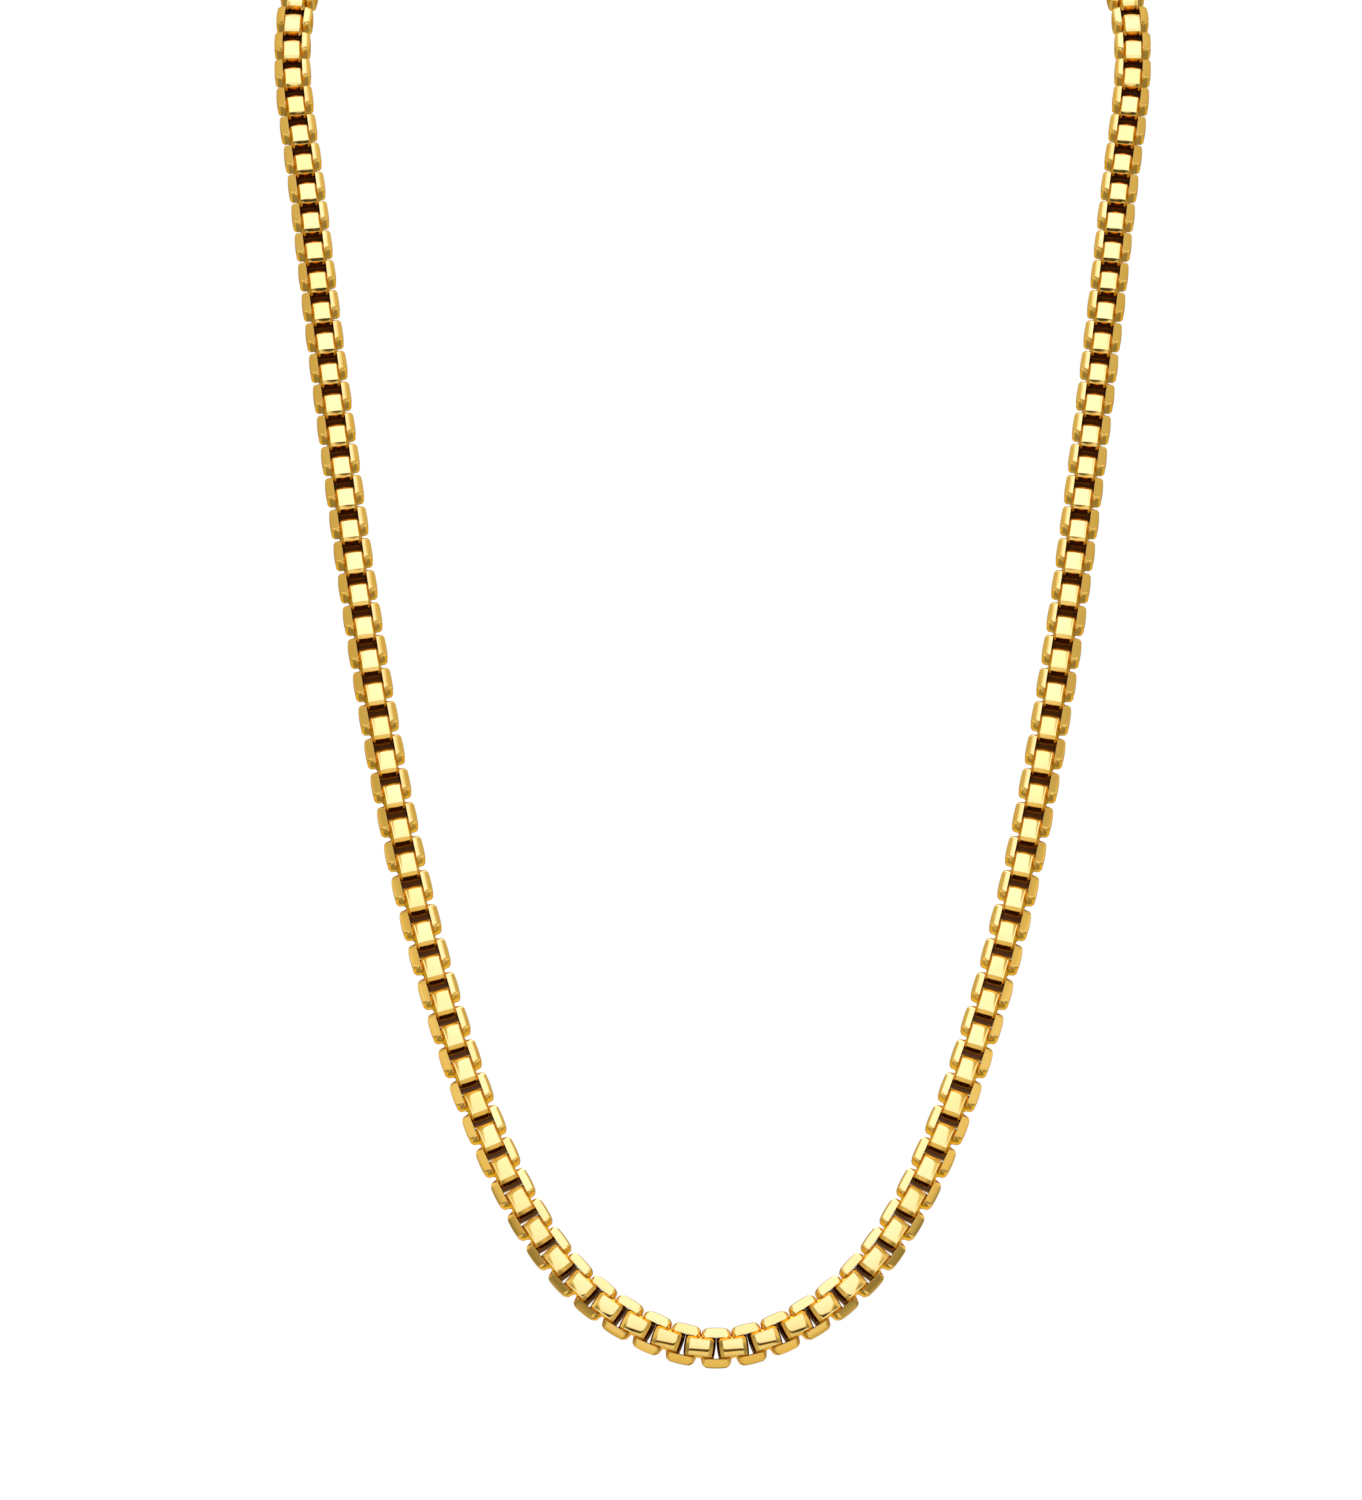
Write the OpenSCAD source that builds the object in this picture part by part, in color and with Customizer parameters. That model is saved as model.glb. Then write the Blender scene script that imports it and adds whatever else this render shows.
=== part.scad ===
// Box chain necklace with a plain clasp, shown as it hangs round a neck.
// Millimetres, +Z up. The front of the necklace faces -Y and the nape is at the origin.

/* [Necklace] */
// Distance from the middle to the route's widest row, which sets the necklace's width
half_width = 51.5; // [50:0.5:53]
// How far in front of the nape the route's lowest row lies
reach = 129; // [126:1:132]
// How far below the nape the route's lowest row lies, which sets the necklace's height
drop = 173.5; // [170:0.5:178]

/* [Links] */
// Outer width of a link, across the chain
link_width = 4.4; // [4.1:0.1:5]
// Outer length of a link, along the chain
link_length = 3.26; // [3.16:0.02:3.3]
// Width of the strip that a link is folded from
strip_width = 2.24; // [2:0.02:2.3]
// Thickness of the two walls across a link's ends
end_wall = 0.46; // [0.42:0.01:0.48]
// Clear gap on each side of a strip inside the next link
side_play = 0.18; // [0.16:0.01:0.25]
// Clear gap between two hooked links of a taut chain
hook_play = 0.14; // [0.12:0.01:0.2]

/* [Bevels] */
// How far a corner bevel runs along the chain
corner_run = 0.36; // [0.3:0.02:0.5]
// How far a corner bevel cuts into the link's width
corner_drop = 0.32; // [0.2:0.02:0.6]
// How far an edge bevel runs over the strip's width
edge_run = 0.22; // [0.1:0.02:0.4]
// How far an edge bevel cuts into a side wall
edge_drop = 0.6; // [0.3:0.02:0.66]
// How far the end walls bulge out along the chain
bulge = 0.2; // [0.16:0.02:0.34]
// Width of the flat part in the middle of an end wall
end_flat = 1.2; // [0.8:0.1:2]
// How far the bevels on an end wall's edges run over the strip's width
end_edge_run = 0.6; // [0.3:0.05:0.7]

/* [Rings] */
// Thickness of the wire of the two end rings
ring_wire = 0.9; // [0.7:0.05:1]
// Inner diameter of the two end rings
ring_bore = 4; // [3.6:0.1:4.6]
// Clear gap between a ring and what it passes through
ring_play = 0.13; // [0.11:0.01:0.3]

/* [Clasp] */
// Distance between the two rings' wires that the clasp holds
clasp_reach = 9.2; // [8.6:0.2:12]
// Thickness of the clasp
clasp_thickness = 1.8; // [1.4:0.1:2.2]
// Metal round the clasp's hole and its eye
clasp_rim = 1.15; // [0.9:0.05:1.4]
// Diameter of the eye at the clasp's nose
clasp_eye = 3.8; // [3.4:0.1:4.4]

/* [Hidden] */
gold = [0.92, 0.62, 0.22];
cut_over = 1;
waist = 0.9;
round_fn = 64;
wire_fn = 32;

// Half of the chain's route, from the lowest point in front to the nape, mirrored for the other half.
// Columns: x, y, z, upward turn of the flat faces in degrees, and how taut the chain is there.
// The three sizes at the top of the file stretch the first three columns.
route = [
    [0, -129, -173.5, 4, 0.805],
    [9, -128, -170.5, 4, 0.82],
    [17, -126, -164.5, 6, 0.855],
    [23, -123, -154.5, 9, 0.9],
    [28, -118, -142.5, 14, 0.94],
    [33, -111, -126.5, 20, 0.975],
    [37, -102, -109, 26, 1],
    [40.5, -91.5, -90.5, 31, 1],
    [43.5, -80, -72, 32, 1],
    [46.5, -68.5, -53, 33, 1],
    [48.5, -59, -38.5, 36, 1],
    [51.5, -50, -23.5, 45, 0.98],
    [49, -36.5, -8.5, 64, 0.965],
    [40.5, -23, -1.5, 80, 0.97],
    [29.5, -10, 0.5, 88, 0.975],
    [17, -2.5, 0, 90, 0.975],
    [0, 1.25, 0, 90, 0.975]
];
route_steps = 12;
widest_x = max([for (p = route) p[0]]);
lowest = route[0];

// Sizes that follow from the ones above
opening_width = strip_width + 2 * side_play;
opening_length = link_length - 2 * end_wall;
taut_pitch = opening_length - hook_play;
ring_r = (ring_bore + ring_wire) / 2;
ring_seat = sqrt(pow(ring_bore / 2 - ring_play, 2) - pow(strip_width / 2, 2));
ring_offset = opening_length / 2 + ring_seat;
ring_sag = pow(clasp_thickness / 2, 2) / (2 * ring_r);
tail_hole_r = ring_wire / 2 + ring_sag + 2 * ring_play;
eye_centre = clasp_reach / 2 + ring_wire / 2 + ring_sag + 2 * ring_play - clasp_eye / 2;
end_reserve = clasp_reach / 2 + ring_r + ring_offset;

// The route is a smooth closed curve that is steered by the rows of the table
last_row = len(route) - 1;
growth = [half_width / widest_x, -reach / lowest[1], -drop / lowest[2], 1, 1];
function sized(p) = [for (i = [0:len(p) - 1]) p[i] * growth[i]];
function flip(p) = [for (i = [0:len(p) - 1]) i == 0 ? -p[i] : p[i]];
function half_row(i) = sized(route[i]);
function row(i) = i < 0 ? flip(half_row(-i)) : i > last_row ? flip(half_row(2 * last_row - i)) : half_row(i);
function weights(u) =
    [pow(1 - u, 3), 3 * pow(u, 3) - 6 * u * u + 4, 3 * (u + u * u - pow(u, 3)) + 1, pow(u, 3)] / 6;
function steer(i, u) = weights(u) * [row(i - 1), row(i), row(i + 1), row(i + 2)];
function xyz(p) = [p[0], p[1], p[2]];
samples = [
    for (i = [0:last_row - 1]) for (k = [0:route_steps - 1]) steer(i, k / route_steps),
    steer(last_row - 1, 1)
];
sample_count = len(samples);

// Length along the route, and how many links fit up to each sample
function step_length(i) = norm(xyz(samples[i]) - xyz(samples[i - 1]));
function step_links(i) = step_length(i) / (taut_pitch * (samples[i][4] + samples[i - 1][4]) / 2);
lengths = [for (i = 0, s = 0; i < sample_count; i = i + 1, s = i < sample_count ? s + step_length(i) : s) s];
counts = [for (i = 0, c = 0; i < sample_count; i = i + 1, c = i < sample_count ? c + step_links(i) : c) c];
half_length = lengths[sample_count - 1];
fitting_links = lookup(half_length - end_reserve, [for (i = [0:sample_count - 1]) [lengths[i], counts[i]]]);

// Each half takes an odd number of links, so that its last one shows a flat face and takes a ring
links_per_half = 2 * ceil((fitting_links - 1) / 2) + 1;
link_step = fitting_links / links_per_half;
columns = [for (c = [0:3]) [for (i = [0:sample_count - 1]) [counts[i], samples[i][c]]]];
function on_route(u) = u < 0 ? flip(on_route(-u)) : [for (c = [0:3]) lookup(u, columns[c])];

// Place of link number i on one side, with its directions along the chain, out of its face and across
function unit(v) = v / norm(v);
function on_side(p, side) = [side * p[0], p[1], p[2]];
function centre(i, side) = on_side(on_route(i * link_step), side);
function along(i, side) =
    unit(on_side(on_route((i + 0.5) * link_step) - on_route((i - 0.5) * link_step), side));
function facing(lift) = [0, -cos(lift), sin(lift)];
function square_to(v, t) = unit(v - (v * t) * t);
function outward(i, side) = square_to(facing(on_route(i * link_step)[3]), along(i, side));
function across(i, side) = cross(outward(i, side), along(i, side));

// Moves a shape to a point and turns its X, Y and Z axes to three given directions
module placed(p, x_axis, y_axis, z_axis) {
    multmatrix([
        [x_axis[0], y_axis[0], z_axis[0], p[0]],
        [x_axis[1], y_axis[1], z_axis[1], p[1]],
        [x_axis[2], y_axis[2], z_axis[2], p[2]],
        [0, 0, 0, 1]
    ])
        children();
}

// A rectangle about the middle with its four corners cut off
module cut_rectangle(size_x, size_y, cut_x, cut_y) {
    x = size_x / 2;
    y = size_y / 2;
    polygon([
        [x - cut_x, y], [-x + cut_x, y], [-x, y - cut_y], [-x, -y + cut_y],
        [-x + cut_x, -y], [x - cut_x, -y], [x, -y + cut_y], [x, y - cut_y]
    ]);
}

// The link's outline: bevelled corners, and end walls that bulge out in the middle
module outline() {
    face = link_length / 2 - bulge - corner_run;
    corner = link_length / 2 - bulge;
    wall = link_width / 2 - corner_drop;
    polygon([
        for (turn = [1, -1])
            each [
                [-face * turn, link_width / 2 * turn],
                [face * turn, link_width / 2 * turn],
                [corner * turn, wall * turn],
                [link_length / 2 * turn, end_flat / 2 * turn],
                [link_length / 2 * turn, -end_flat / 2 * turn],
                [corner * turn, -wall * turn]
            ]
    ]);
}

// One link lying along X, with its opening along Z
module link() {
    difference() {
        intersection() {
            linear_extrude(height = strip_width, center = true)
                outline();
            rotate([90, 0, 90])
                linear_extrude(height = link_length + cut_over, center = true)
                    cut_rectangle(link_width, strip_width, edge_drop, edge_run);
            rotate([90, 0, 0])
                linear_extrude(height = link_width + cut_over, center = true)
                    cut_rectangle(link_length, strip_width, bulge, end_edge_run);
        }
        cube([opening_length, opening_width, strip_width + cut_over], center = true);
    }
}

// Odd links show a flat face in front, even links show their opening
module placed_link(i, side) {
    t = along(i, side);
    n = outward(i, side);
    b = across(i, side);
    if (i % 2 == 1)
        placed(centre(i, side), t, n, cross(t, n)) link();
    else
        placed(centre(i, side), t, b, n) link();
}

// A round wire ring about Z
module wire_ring() {
    rotate_extrude($fn = round_fn)
        translate([ring_r, 0])
            circle(d = ring_wire, $fn = wire_fn);
}

// The end ring runs through the last link of its side
function ring_centre(side) = centre(links_per_half, side) + along(links_per_half, side) * ring_offset;
module end_ring(side) {
    t = along(links_per_half, side);
    n = outward(links_per_half, side);
    placed(ring_centre(side), t, cross(n, t), n) wire_ring();
}

// A disc that stands upright in the clasp's plane
module upright_disc(x, r, thickness) {
    translate([x, 0, 0])
        rotate([90, 0, 0])
            cylinder(r = r, h = thickness, center = true, $fn = round_fn);
}

module chain_left() {
    color(gold)
        for (i = [0:links_per_half])
            placed_link(i, -1);
}

module chain_right() {
    color(gold)
        for (i = [1:links_per_half])
            placed_link(i, 1);
}

// One plain plate with a small hole at its tail and a wide eye at its nose
module clasp() {
    tail_r = tail_hole_r + clasp_rim;
    nose_r = clasp_eye / 2 + clasp_rim;
    rings_mid = (ring_centre(-1) + ring_centre(1)) / 2;
    color(gold)
        translate(rings_mid)
            difference() {
                union() {
                    upright_disc(-clasp_reach / 2, tail_r, clasp_thickness);
                    upright_disc(eye_centre, nose_r, clasp_thickness);
                    rotate([90, 0, 0])
                        linear_extrude(height = clasp_thickness, center = true)
                            polygon([
                                [-clasp_reach / 2, -tail_r * waist],
                                [eye_centre, -nose_r * waist],
                                [eye_centre, nose_r * waist],
                                [-clasp_reach / 2, tail_r * waist]
                            ]);
                }
                upright_disc(-clasp_reach / 2, tail_hole_r, clasp_thickness + cut_over);
                upright_disc(eye_centre, clasp_eye / 2, clasp_thickness + cut_over);
            }
}

module clasp_ring() {
    color(gold)
        end_ring(-1);
}

module catch_ring() {
    color(gold)
        end_ring(1);
}

chain_left();
chain_right();
clasp();
clasp_ring();
catch_ring();
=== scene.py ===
import math

import bmesh
import bpy
import numpy as np
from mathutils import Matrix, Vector


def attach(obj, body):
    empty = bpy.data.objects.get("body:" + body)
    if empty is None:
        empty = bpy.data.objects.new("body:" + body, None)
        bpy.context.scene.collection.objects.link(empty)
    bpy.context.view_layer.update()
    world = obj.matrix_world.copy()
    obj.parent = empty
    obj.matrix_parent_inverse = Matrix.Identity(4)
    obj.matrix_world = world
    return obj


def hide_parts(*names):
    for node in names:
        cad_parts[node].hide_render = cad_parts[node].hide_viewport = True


# Box chain necklace in polished yellow gold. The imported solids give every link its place.
# All sizes below are in millimetres unless a note says otherwise.

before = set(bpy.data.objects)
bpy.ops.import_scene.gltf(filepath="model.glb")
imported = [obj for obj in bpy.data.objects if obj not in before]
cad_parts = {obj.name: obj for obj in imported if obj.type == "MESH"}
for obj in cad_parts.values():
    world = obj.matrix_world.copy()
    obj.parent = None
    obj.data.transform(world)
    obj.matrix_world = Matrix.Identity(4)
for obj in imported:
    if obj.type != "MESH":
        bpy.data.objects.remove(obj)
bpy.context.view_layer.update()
mm = 0.001
sameCorner = 1e-6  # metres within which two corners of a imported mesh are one
tiny = 1e-6  # the least that anything is divided by
print("frame loaded:", ", ".join(sorted(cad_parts)))

# Shader sockets as Python values, so that node maths is written as plain sums

mathNames = {"+": "ADD", "-": "SUBTRACT", "*": "MULTIPLY"}


class Wire:
    def __init__(self, graph, socket):
        self.graph = graph
        self.socket = socket
        self.kind = socket.type  # VALUE, VECTOR or RGBA

    def combine(self, sign, a, b):
        kinds = [x.kind for x in (a, b) if isinstance(x, Wire)]
        if "RGBA" in kinds:  # colours go through a Mix node
            a, b = [(x, x, x, 1) if isinstance(x, (int, float)) else x for x in (a, b)]
            return self.graph.add("ShaderNodeMix", {"data_type": "RGBA", "blend_type": mathNames[sign]},
                                  {0: 1.0, 6: a, 7: b}, out=2)
        if "VECTOR" in kinds:
            a, b = [(x, x, x) if isinstance(x, (int, float)) else x for x in (a, b)]
            return self.graph.add("ShaderNodeVectorMath", {"operation": mathNames[sign]}, {0: a, 1: b})
        return self.graph.add("ShaderNodeMath", {"operation": mathNames[sign]}, {0: a, 1: b})

    def __add__(self, other):
        return self.combine("+", self, other)

    def __radd__(self, other):
        return self.combine("+", other, self)

    def __sub__(self, other):
        return self.combine("-", self, other)

    def __rsub__(self, other):
        return self.combine("-", other, self)

    def __mul__(self, other):
        return self.combine("*", self, other)

    def __rmul__(self, other):
        return self.combine("*", other, self)


class Graph:
    def __init__(self, tree):
        self.tree = tree
        tree.nodes.clear()

    # any node: its type, its settings (set first), then values or links for its sockets
    def add(self, kind, settings=None, values=None, out=0):
        node = self.tree.nodes.new(kind)
        for name, value in (settings or {}).items():
            if name == "stops":  # a ramp's stops as (place, grey)
                ramp = node.color_ramp
                while len(ramp.elements) < len(value):
                    ramp.elements.new(0.5)  # each gets its own place below
                for element, (place, grey) in zip(ramp.elements, value):
                    element.position = place
                    element.color = (grey, grey, grey, 1)
            else:
                setattr(node, name, value)
        for name, value in (values or {}).items():
            if isinstance(value, Wire):
                self.tree.links.new(value.socket, node.inputs[name])
            else:
                node.inputs[name].default_value = value
        return Wire(self, node.outputs[out]) if len(node.outputs) else None

    # 0 below low, 1 above high, smooth in between
    def smooth(self, value, low, high):
        return self.add("ShaderNodeMapRange", {"interpolation_type": "SMOOTHSTEP"},
                        {0: value, 1: low, 2: high})

    def dot(self, vector, direction):
        return self.add("ShaderNodeVectorMath", {"operation": "DOT_PRODUCT"},
                        {0: vector, 1: direction}, out=1)

    def mix(self, factor, first, second):
        return self.add("ShaderNodeMix", {"data_type": "RGBA"}, {0: factor, 6: first, 7: second}, out=2)

    def noise(self, place, scale, detail=2.0, roughness=0.5):
        return self.add("ShaderNodeTexNoise", {}, {
            "Vector": place, "Scale": scale, "Detail": detail, "Roughness": roughness,
        })


# Gold

goldLook = {
    "gold": (0.93, 0.575, 0.12, 1),  # the metal's own colour
    "deepGold": (0.91, 0.53, 0.095, 1),  # links that came out of the bath a little redder
    "deepFrom": 0.3,  # sum of cloud and link tone at which the one starts to turn into the other
    "deepTo": 0.8,
    "shade": (0.62, 0.28, 0.04, 1),  # painted shade, between open metal and the painted dark inside of a link
    "shadeFrom": 0.05,  # depth at which the shade starts, 0 on the open faces and 1 inside
    "shadeTo": 0.5,
    "recess": (0.16, 0.05, 0.006, 1),  # painted shade deep inside the links, where the links shade each other
    "recessFrom": 0.4,
    "recessTo": 0.9,
    "unevenBorder": 0.3,  # how much the smears shift these borders
    "paintedShadeDulls": 0.3,  # how much the painted shade lowers the metal
    "edgeTint": (0.9, 0.6, 0.25, 1),  # of the metal at a flat angle
    "edgeGloss": 0.1,
    "polish": 0.06,  # roughness of the faces
    "dullness": 0.45,  # roughness inside the links
    "smearRoughness": 0.04,  # how much each of these changes the roughness
    "linkRoughness": 0.02,
    "hairlineRoughness": 0.02,
    "cloudScale": 0.35,  # waves of each pattern to the millimetre
    "smearScale": 2.4,
    "hairlineScale": 2.6,
    "hairlineStretch": (2.0, 2.0, 14.0),
    "pitScale": 22.0,
    "hairlineHeight": 0.6,  # share of each pattern in the bump
    "pitHeight": 0.25,
    "smearHeight": 0.15,
    "bumpStrength": 0.008,
    "bumpDistance": 0.00005,  # metres
}


def goldMaterial(name, look):
    material = bpy.data.materials.new(name)
    material.use_nodes = True
    g = Graph(material.node_tree)
    place = g.add("ShaderNodeTexCoord", out=3) * 1000.0  # object coordinates, in millimetres
    linkTone = g.add("ShaderNodeAttribute", {"attribute_name": "linkTone"}, out=2)
    # how deep each point lies between the links: it sets the painted shade there and the duller roughness
    recess = g.add("ShaderNodeAttribute", {"attribute_name": "recess"}, out=2)

    cloud = g.noise(place, look["cloudScale"], detail=3.0)
    smear = g.noise(place, look["smearScale"], detail=4.0, roughness=0.6)
    hairlines = g.noise(place * look["hairlineStretch"], look["hairlineScale"], detail=5.0)
    pits = g.noise(place, look["pitScale"])

    deeper = g.smooth(cloud * 0.5 + linkTone * 0.5, look["deepFrom"], look["deepTo"])
    colour = g.mix(deeper, look["gold"], look["deepGold"])
    # painted shade: deep points turn to the shade colour, then to the dark recess colour, and lose some
    # metal; smears shift these borders
    depth = recess + (smear - 0.5) * look["unevenBorder"] * recess
    colour = g.mix(g.smooth(depth, look["shadeFrom"], look["shadeTo"]), colour, look["shade"])
    paintedShade = g.smooth(depth, look["recessFrom"], look["recessTo"])
    colour = g.mix(paintedShade, colour, look["recess"])
    rough = look["polish"] + (smear - 0.5) * look["smearRoughness"]
    rough = rough + (linkTone - 0.5) * look["linkRoughness"] + hairlines * look["hairlineRoughness"]
    rough = rough + recess * (look["dullness"] - look["polish"])
    height = hairlines * look["hairlineHeight"] + pits * look["pitHeight"] + smear * look["smearHeight"]
    bump = g.add("ShaderNodeBump", {}, {
        "Strength": look["bumpStrength"], "Distance": look["bumpDistance"], "Height": height,
    })

    metal = g.add("ShaderNodeBsdfPrincipled", {}, {
        "Base Color": colour, "Metallic": 1 - paintedShade * look["paintedShadeDulls"], "Roughness": rough,
        "Normal": bump, "Specular Tint": look["edgeTint"], "Specular IOR Level": look["edgeGloss"],
    })
    g.add("ShaderNodeOutputMaterial", {}, {"Surface": metal})
    return material


# One link

linkSizes = {
    "length": 3.4,  # along the chain
    "width": 4.4,
    "strip": 2.3,  # width of the strip
    "endWall": 0.53,
    "sideWall": 1.05,
    "bulge": 0.22,  # how far the end walls come out beyond the corners
    "bulgeDrop": 0.5,  # how much of the width the first, steeper part of that takes
    "bulgeShoulder": 0.06,  # how far from the end that part stops
    "bulgePoints": [(0.03, 0.98), (0, 0.45), (0, 0)],  # from the end, at these shares of the opening
    "bulgeFoot": 0.4,  # how far the corner's foot comes out, in times the rounding
    "cornerRun": 0.37,  # corner bevel, along the chain and into the width
    "cornerDrop": 0.34,
    "crownPoints": [(0, 0), (0.45, 0.2), (0.8, 0.64)],  # shares of the face and of its crown's drop
    "insideAlong": [0, 0.34, 0.6, 0.78, 0.86],  # points inside, as shares of the opening
    "insideCorner": 0.04,
    "insideAcross": [0.92, 0.84, 0.5, 0],
    "edgeRun": 0.26,  # slanted edge, over the strip and into the side wall
    "edgeDrop": 0.94,
    "edgeCurve": 1.15,  # 1 would make it a plain bevel, more makes it rounder
    "endEdgeStart": 1.24,  # the strip's edges slant back towards the ends from here
    "endEdgeRun": 0.6,  # and have lost this much of the strip at the ends
    "endEdgeFade": 0.2,  # over this much of the side wall, because the end walls keep the full strip
    "slantLeast": 0.2,  # shares of a wall's thickness between which a slant may start
    "slantMost": 0.85,
    "crownAlong": 0.06,  # how much lower a face lies at its two ends than in the middle
    "crownAcross": 0.09,  # and at the strip's two edges
    "crownHeights": [0.84, 0.62, 0.36],  # shares of half the strip at which the face has points
    "round": 0.045,  # how far each edge is rounded to each side
    "roundMost": 0.15,  # the most of a wall's thickness that this may take
    "shadeStart": 1.4,  # on the end walls the painted shade and the duller roughness rise between these distances from the middle
    "shadeEnd": 0.5,
    "shadeEdge": 0.15,  # how deep in painted shade the opening's own edge counts
}


# Corner points of one quarter of the link's outline, and the points of the opening that they belong to
def quarterOutline(s):
    halfX, halfY = s["length"] / 2, s["width"] / 2
    openX, openY = halfX - s["endWall"], halfY - s["sideWall"]
    cornerX = halfX - s["bulge"]
    faceX = cornerX - s["cornerRun"]
    wallY = halfY - s["cornerDrop"]
    r = s["round"]
    slant = Vector((s["cornerRun"], -s["cornerDrop"])).normalized() * r
    low = s["crownAlong"]
    outer = [(faceX * along, halfY - low * drop) for along, drop in s["crownPoints"]]
    outer += [
        (faceX - r, halfY - low), (faceX + slant.x, halfY - low + slant.y),
        (cornerX - slant.x, wallY - slant.y), (cornerX + r * s["bulgeFoot"], wallY - r),
        (halfX - s["bulgeShoulder"], wallY - s["bulgeDrop"]),
    ]
    outer += [(halfX - back, openY * share) for back, share in s["bulgePoints"]]
    inner = [(openX * share, openY) for share in s["insideAlong"]]
    inner += [(openX - s["insideCorner"], openY), (openX, openY - s["insideCorner"])]
    inner += [(openX, openY * share) for share in s["insideAcross"]]
    return outer, inner


# Mirrors a quarter into the whole closed outline
def wholeOutline(quarter):
    first = [Vector(p) for p in quarter]
    second = [Vector((p.x, -p.y)) for p in reversed(first[:-1])]
    half = first + second
    return half + [Vector((-p.x, p.y)) for p in reversed(half[1:-1])]


# Corners, four-sided faces and painted recess shade of one link about the middle.
# X lies along the chain, Y over the link's width, and the opening along Z.
def linkShape(s):
    outer, inner = [wholeOutline(q) for q in quarterOutline(s)]
    halfX, halfY, halfZ = s["length"] / 2, s["width"] / 2, s["strip"] / 2
    slantX, slantY = s["endEdgeStart"], halfY - s["edgeDrop"]
    r = s["round"]

    def rim(x, y):  # height of the strip's edge, which the slanted edge and the end slant lower
        side = s["edgeRun"] * (max(0, abs(y) - slantY) / s["edgeDrop"]) ** s["edgeCurve"]
        end = s["endEdgeRun"] * max(0, abs(x) - slantX) / (halfX - slantX)
        end *= min(1, max(0, (abs(y) - halfY + s["sideWall"]) / s["endEdgeFade"]))
        return halfZ - max(side, end)

    def shade(x, y):  # 1 deep between the links, 0 on the open faces
        inBetween = (s["shadeStart"] - abs(y)) / (s["shadeStart"] - s["shadeEnd"])
        return min(1, max(0, inBetween)) if abs(x) > halfX - s["endWall"] else 0

    def crossing(start, end, border):  # where a line crosses a border, as a share of its length
        return (border - abs(start)) / max(tiny, abs(end) - abs(start))

    points, recess = [], []
    for o, i in zip(outer, inner):
        wall = o - i
        reach = wall.length
        crossings = [crossing(i.y, o.y, slantY), crossing(i.x, o.x, slantX)]
        bend = next((c for c in crossings if s["slantLeast"] < c < s["slantMost"]), 0.5)
        onSlant = bend * 0.45 + 0.55  # a little over halfway from the bend to the outside
        soft = min(r / reach, s["roundMost"])
        half = []
        for part, deep in ((0, r), (soft, 0), (bend, 0), (onSlant, 0), (1 - soft, 0)):
            p = i + wall * part
            half.append((p.x, p.y, rim(p.x, p.y) - deep))
        top = rim(o.x, o.y)
        for part in [1 - r / top] + s["crownHeights"]:
            p = o - wall * (s["crownAcross"] * part ** 2 / reach)
            half.append((p.x, p.y, top * part))
        section = half + [(o.x, o.y, 0)] + [(x, y, -z) for x, y, z in reversed(half)]
        points.extend(section)
        # painted shade for each point; the opening's inner faces get all of it and their edges some
        paint = [shade(x, y) for x, y, z in section]
        paint[0] = paint[-1] = 1
        paint[1] = max(paint[1], s["shadeEdge"])
        paint[-2] = max(paint[-2], s["shadeEdge"])
        recess.extend(paint)
    rows, columns = len(outer), len(points) // len(outer)
    faces = []
    for a in range(rows):
        b = (a + 1) % rows
        for c in range(columns):
            d = (c + 1) % columns
            faces.append((a * columns + c, a * columns + d, b * columns + d, b * columns + c))
    return np.array(points), np.array(faces), np.array(recess, float)


# Normals that large faces decide, so that flat faces stay flat and only the narrow rounded edges bend
def weightedNormals(points, faces):
    a, b, c, d = [points[faces[:, k]] for k in range(4)]
    cross = np.cross(c - a, d - b)  # twice the area of a face, along its normal
    normals = np.zeros_like(points)
    area = np.linalg.norm(cross, axis=1, keepdims=True)
    for k in range(4):
        np.add.at(normals, faces[:, k], cross * area)
    return normals / np.linalg.norm(normals, axis=1, keepdims=True)


# Places of the links

# Splits a node of loose links into the links' corner points, in the order of their first corner
def looseLinks(node):
    work = bmesh.new()
    work.from_mesh(node.data)
    bmesh.ops.remove_doubles(work, verts=work.verts, dist=sameCorner)
    work.verts.ensure_lookup_table()
    seen, links = set(), []
    for start in work.verts:
        if start.index in seen:
            continue
        seen.add(start.index)
        heap, group = [start], []
        while heap:
            v = heap.pop()
            group.append(tuple(v.co))
            for e in v.link_edges:
                other = e.other_vert(v)
                if other.index not in seen:
                    seen.add(other.index)
                    heap.append(other)
        links.append(np.array(group))
    work.free()
    return links


# Middle and directions of a solid: its corners spread most along the first and least along the last
def mainDirections(corners):
    middle = corners.mean(0)
    axes = np.linalg.eigh(np.cov((corners - middle).T))[1]
    return middle, axes[:, 2], axes[:, 1], axes[:, 0]


def newObject(name, points, faces, material, normals=None, attributes=None):
    mesh = bpy.data.meshes.new(name)
    mesh.from_pydata(points.tolist(), [], faces.tolist())
    mesh.shade_smooth()
    for key, values in (attributes or {}).items():
        mesh.attributes.new(key, "FLOAT", "POINT").data.foreach_set("value", values)
    mesh.materials.append(material)
    if normals is not None:
        mesh.normals_split_custom_set_from_vertices(normals.tolist())
    piece = bpy.data.objects.new(name, mesh)
    bpy.context.scene.collection.objects.link(piece)
    return piece


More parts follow.
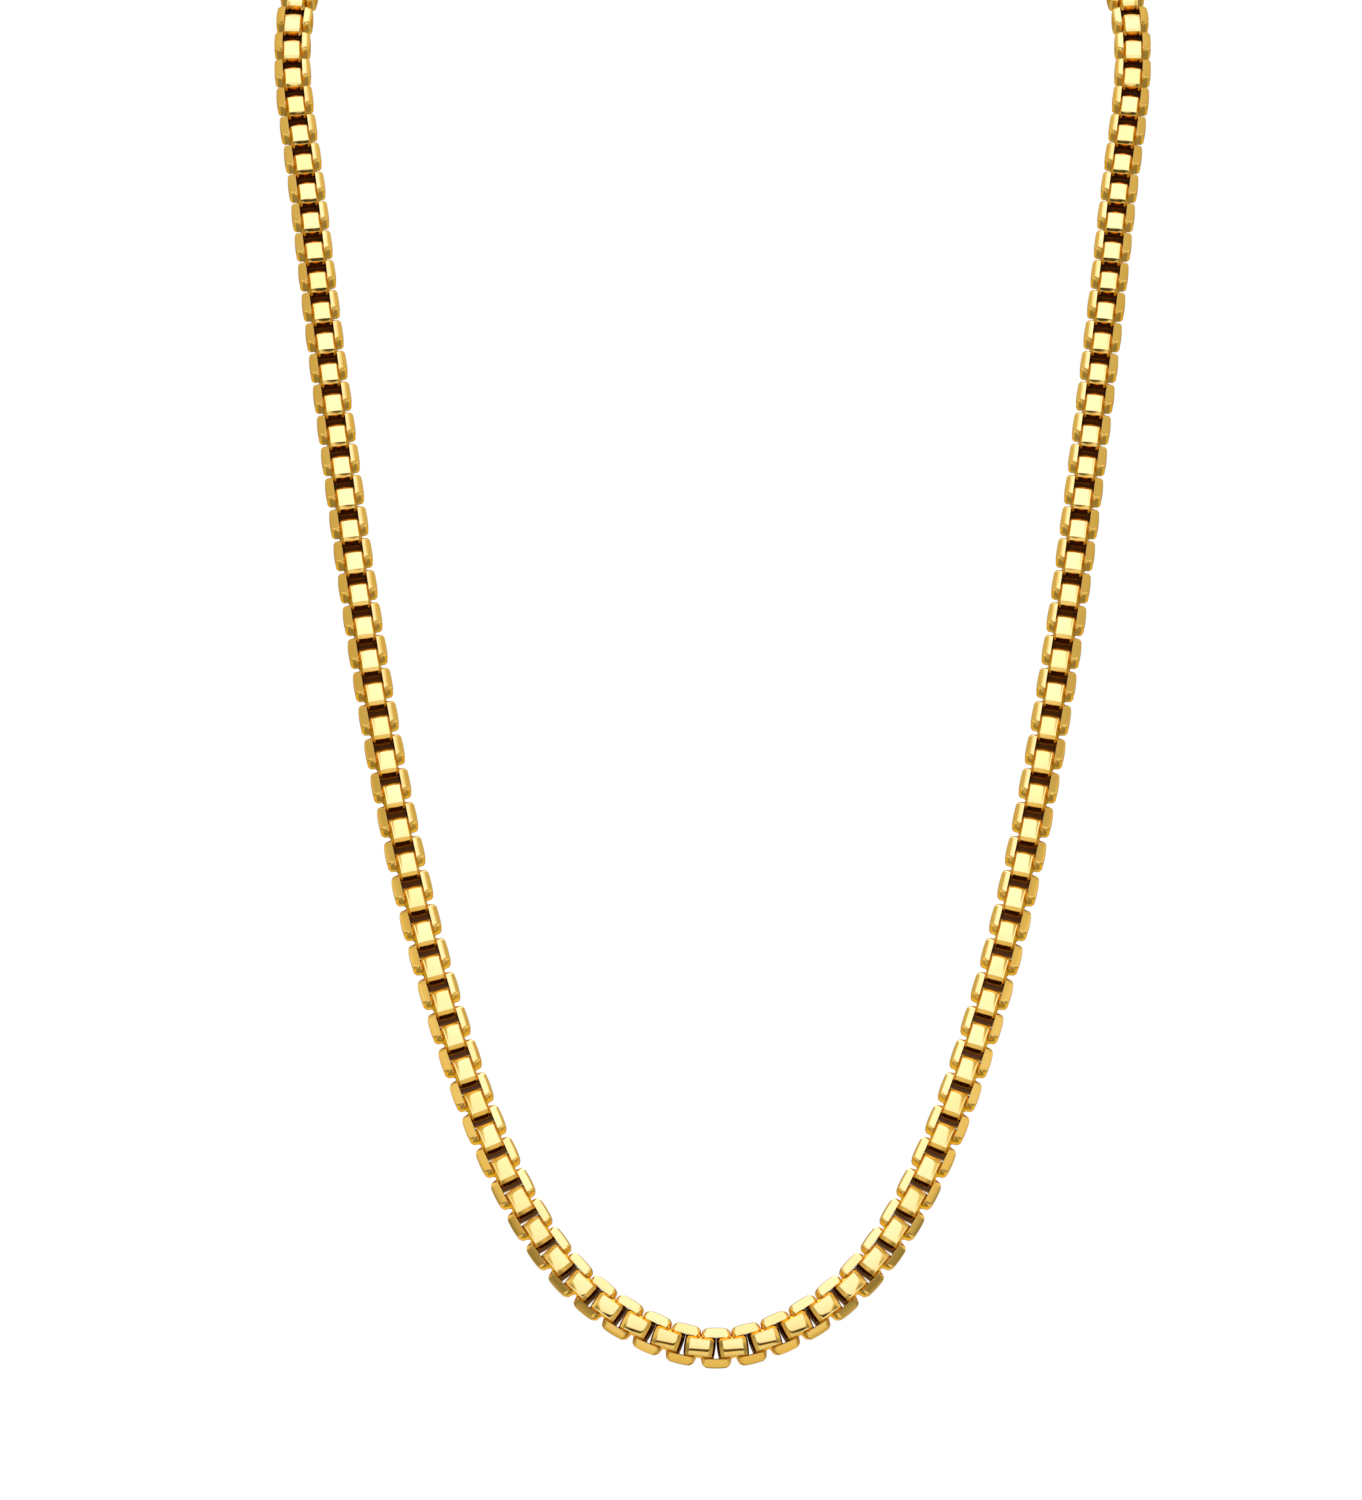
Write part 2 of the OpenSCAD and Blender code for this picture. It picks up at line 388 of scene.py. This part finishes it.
# A strand as one mesh, with a link of the given shape in the place of each packed one
def chainPiece(name, node, material, shape, seed):
    points, faces, recess = shape
    normals = weightedNormals(points, faces)
    random = np.random.default_rng(seed)
    links = looseLinks(node)
    allPoints, allFaces, allNormals, tones = [], [], [], []
    for number, corners in enumerate(links):
        middle, y, x, z = mainDirections(corners)  # a link is wider than it is long
        if np.dot(np.cross(x, y), z) < 0:
            z = -z
        axes = np.array([x, y, z])
        allPoints.append(points * mm @ axes + middle)
        allNormals.append(normals @ axes)
        allFaces.append(faces + number * len(points))
        tones.append(np.full(len(points), random.uniform(0, 1)))
    print(name, "has", len(links), "links and", 2 * len(links) * len(faces), "triangles")
    # each link keeps its random tone, and every point its depth in painted shade
    return newObject(name, np.vstack(allPoints), np.vstack(allFaces), material, np.vstack(allNormals), {
        "linkTone": np.concatenate(tones), "recess": np.tile(recess, len(links)),
    })


def takeOver(piece, node):
    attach(piece, "root")
    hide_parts(node)


strands = {  # the node that each strand stands for, and the seed of its links' tones
    "left_strand": ("chain_left", 3),
    "right_strand": ("chain_right", 8),
}
linkGold = goldMaterial("linkGold", goldLook)
linkMesh = linkShape(linkSizes)
for name, (node, seed) in strands.items():
    takeOver(chainPiece(name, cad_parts[node], linkGold, linkMesh, seed), node)

# Clasp and rings at the nape, which the photo doesn't show

fittingSizes = {
    "edge": 0.32,  # rounding of the clasp's edges
    "edgeSteps": 4,
    "flatAngle": 1,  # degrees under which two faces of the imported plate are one
    "sharpAngle": 40,  # degrees over which an edge gets rounded
    "ringSteps": 72,  # steps round a ring, and round its wire
    "wireSteps": 20,
    "seamWidth": 7,  # degrees of the ring that its soldered seam takes
    "seamDepth": 0.05,
}


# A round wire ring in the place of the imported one, with the shallow groove of its soldered seam
def ringPiece(name, node, material, s):
    corners = np.array([tuple(v.co) for v in node.data.vertices])
    middle, x, y, z = mainDirections(corners)
    fromMiddle = corners - middle
    wire = np.ptp(fromMiddle @ z) / 2
    radius = np.hypot(fromMiddle @ x, fromMiddle @ y).max() - wire
    points = []
    for a in range(s["ringSteps"]):
        turn = 2 * math.pi * a / s["ringSteps"]
        off = min(turn, 2 * math.pi - turn) / math.radians(s["seamWidth"])
        thick = wire - s["seamDepth"] * mm * math.exp(-off * off)
        outward = x * math.cos(turn) + y * math.sin(turn)
        for b in range(s["wireSteps"]):
            around = 2 * math.pi * b / s["wireSteps"]
            out, up = radius + thick * math.cos(around), thick * math.sin(around)
            points.append(middle + outward * out + z * up)
    faces = []
    for a in range(s["ringSteps"]):
        for b in range(s["wireSteps"]):
            c, d = (a + 1) % s["ringSteps"], (b + 1) % s["wireSteps"]
            faces.append([k * s["wireSteps"] + m for k, m in ((a, b), (c, b), (c, d), (a, d))])
    return newObject(name, np.array(points), np.array(faces), material)


# The clasp's plate with its edges rounded
def claspPiece(name, node, material, s):
    work = bmesh.new()
    work.from_mesh(node.data)
    bmesh.ops.remove_doubles(work, verts=work.verts, dist=sameCorner)
    flat, sharp = math.radians(s["flatAngle"]), math.radians(s["sharpAngle"])
    bmesh.ops.dissolve_limit(work, angle_limit=flat, verts=work.verts, edges=work.edges)
    edges = [e for e in work.edges if len(e.link_faces) == 2 and e.calc_face_angle() > sharp]
    bmesh.ops.bevel(work, geom=edges, offset=s["edge"] * mm, offset_type="OFFSET", segments=s["edgeSteps"],
                    profile=0.5, affect="EDGES", clamp_overlap=True)  # a profile of 0.5 is round
    bmesh.ops.triangulate(work, faces=[f for f in work.faces if len(f.verts) > 4])
    mesh = bpy.data.meshes.new(name)
    work.to_mesh(mesh)
    work.free()
    mesh.shade_smooth()
    mesh.materials.append(material)
    piece = bpy.data.objects.new(name, mesh)
    bpy.context.scene.collection.objects.link(piece)
    weighted = piece.modifiers.new("weighted normals", "WEIGHTED_NORMAL")
    weighted.keep_sharp = True
    return piece


fittingGold = goldMaterial("fittingGold", goldLook)
takeOver(claspPiece("clasp_plate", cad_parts["clasp"], fittingGold, fittingSizes), "clasp")
for side in ("clasp", "catch"):
    ring = ringPiece(side + "_wire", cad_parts[side + "_ring"], fittingGold, fittingSizes)
    takeOver(ring, side + "_ring")
print("fittings ready")

# Studio

studio = {
    "backdrop": 1.0,  # brightness of the plain white that shows behind the necklace
    "panelSide": 26,  # degrees that the panel in front reaches to each side
    "panelFade": 5,  # degrees over which it fades into the room
    "panelTaper": 0.16,  # how much narrower it gets towards the top
    "frontFrom": -0.1,  # it starts between these sines of the angle in front of the necklace
    "frontTo": 0.05,
    "dimLight": (1.0, 1.0, 0.92, 1),  # colour of weak light, and of strong light
    "brightLight": (1.0, 1.37, 3.3, 1),
    "brightFrom": 0.85,  # brightness at which the one turns into the other
    "brightTo": 1.25,
    # brightness by degrees above the horizon, of the panel and of the room
    "front": [(-90, 0.35), (-67, 0.32), (-42, 0.32), (-34, 0.8), (-23, 0.85), (-8, 1.0), (-6.8, 0.9),
              (-5.2, 0.06), (-0.7, 0.06), (0.6, 1.09), (6, 1.15), (14, 1.18), (24, 1.21), (34, 1.23),
              (46, 1.27), (60, 1.4), (78, 1.42), (90, 1.12)],
    "round": [(-90, 0.35), (-52, 0.32), (-36, 0.7), (-8, 0.5), (0, 0.3), (8, 0.4), (18, 0.9), (32, 0.95),
              (45, 0.62), (65, 0.75), (90, 1.2)],
    "behind": 0.5,  # how much brighter the room is behind the necklace
    "behindFrom": 0.55,  # between these sines of the angle
    "behindTo": 0.85,
}


def buildWorld(s):
    world = bpy.data.worlds.new("studio")
    bpy.context.scene.world = world
    world.use_nodes = True
    g = Graph(world.node_tree)
    toLight = g.add("ShaderNodeTexCoord", out=0)
    height = g.add("ShaderNodeMath", {"operation": "ARCSINE"}, {0: g.dot(toLight, (0, 0, 1))})
    height = height * (1 / math.pi) + 0.5  # 0 straight down, 1 straight up
    front, around = [
        g.add("ShaderNodeValToRGB", {"stops": [(angle / 180 + 0.5, light) for angle, light in s[key]]},
              {0: height})
        for key in ("front", "round")
    ]
    sideways = g.add("ShaderNodeMath", {"operation": "ABSOLUTE"}, {0: g.dot(toLight, (1, 0, 0))})
    sideways = sideways + g.dot(toLight, (0, 0, s["panelTaper"]))
    near, far = [math.sin(math.radians(s["panelSide"] + sign * s["panelFade"] / 2)) for sign in (-1, 1)]
    ahead = g.smooth(g.dot(toLight, (0, -1, 0)), s["frontFrom"], s["frontTo"])
    panel = (1 - g.smooth(sideways, near, far)) * ahead
    back = g.smooth(g.dot(toLight, (0, 1, 0)), s["behindFrom"], s["behindTo"])
    around = around * (1 + s["behind"] * back)
    light = g.mix(panel, around, front)
    tint = g.mix(g.smooth(light, s["brightFrom"], s["brightTo"]), s["dimLight"], s["brightLight"])
    studioLight = g.add("ShaderNodeBackground", {}, {"Color": light * tint})
    plain = g.add("ShaderNodeBackground", {}, {"Color": (1, 1, 1, 1), "Strength": s["backdrop"]})
    cameraRay = g.add("ShaderNodeLightPath", out=0)
    shown = g.add("ShaderNodeMixShader", {}, {0: cameraRay, 1: studioLight, 2: plain})
    g.add("ShaderNodeOutputWorld", {}, {"Surface": shown})


floorLook = {
    "height": -1.0,  # metres
    "radius": 6.0,  # metres
    "steps": 96,  # round its edge
    "paper": (0.9, 0.9, 0.9, 1),
    "palePaper": (0.93, 0.93, 0.93, 1),
    "cloudScale": 1.5,  # waves to the metre
    "roughness": 0.9,
    "glow": 0.35,
}


def buildFloor(s):
    work = bmesh.new()
    bmesh.ops.create_circle(work, cap_ends=True, segments=s["steps"], radius=s["radius"])
    mesh = bpy.data.meshes.new("floor")
    work.to_mesh(mesh)
    work.free()
    material = bpy.data.materials.new("paleFloor")
    material.use_nodes = True
    g = Graph(material.node_tree)
    cloud = g.noise(g.add("ShaderNodeTexCoord", out=3), s["cloudScale"])
    colour = g.mix(cloud, s["paper"], s["palePaper"])
    paper = g.add("ShaderNodeBsdfPrincipled", {}, {
        "Base Color": colour, "Roughness": s["roughness"],
        "Emission Color": (1, 1, 1, 1), "Emission Strength": s["glow"],
    })
    g.add("ShaderNodeOutputMaterial", {}, {"Surface": paper})
    mesh.materials.append(material)
    floor = bpy.data.objects.new("floor", mesh)
    floor.location.z = s["height"]
    floor.visible_glossy = False  # the metal mirrors the studio alone
    bpy.context.scene.collection.objects.link(floor)


buildWorld(studio)
buildFloor(floorLook)
bpy.context.scene.view_settings.view_transform = "Standard"
print("studio ready")

# Camera

cameraSet = {
    "place": (-0.0038, -0.808, -0.108),  # metres
    "lens": 151.2,
    "sensor": 36,
    "nearest": 0.01,  # metres, what the camera sees
    "furthest": 50,
}
camera = bpy.data.cameras.new("camera")
camera.lens = cameraSet["lens"]
camera.sensor_width = cameraSet["sensor"]
camera.clip_start = cameraSet["nearest"]
camera.clip_end = cameraSet["furthest"]
cameraObject = bpy.data.objects.new("camera", camera)
cameraObject.location = cameraSet["place"]
cameraObject.rotation_euler = (math.radians(90), 0, 0)  # level, looking along +Y
bpy.context.scene.collection.objects.link(cameraObject)
bpy.context.scene.camera = cameraObject
print("camera ready")
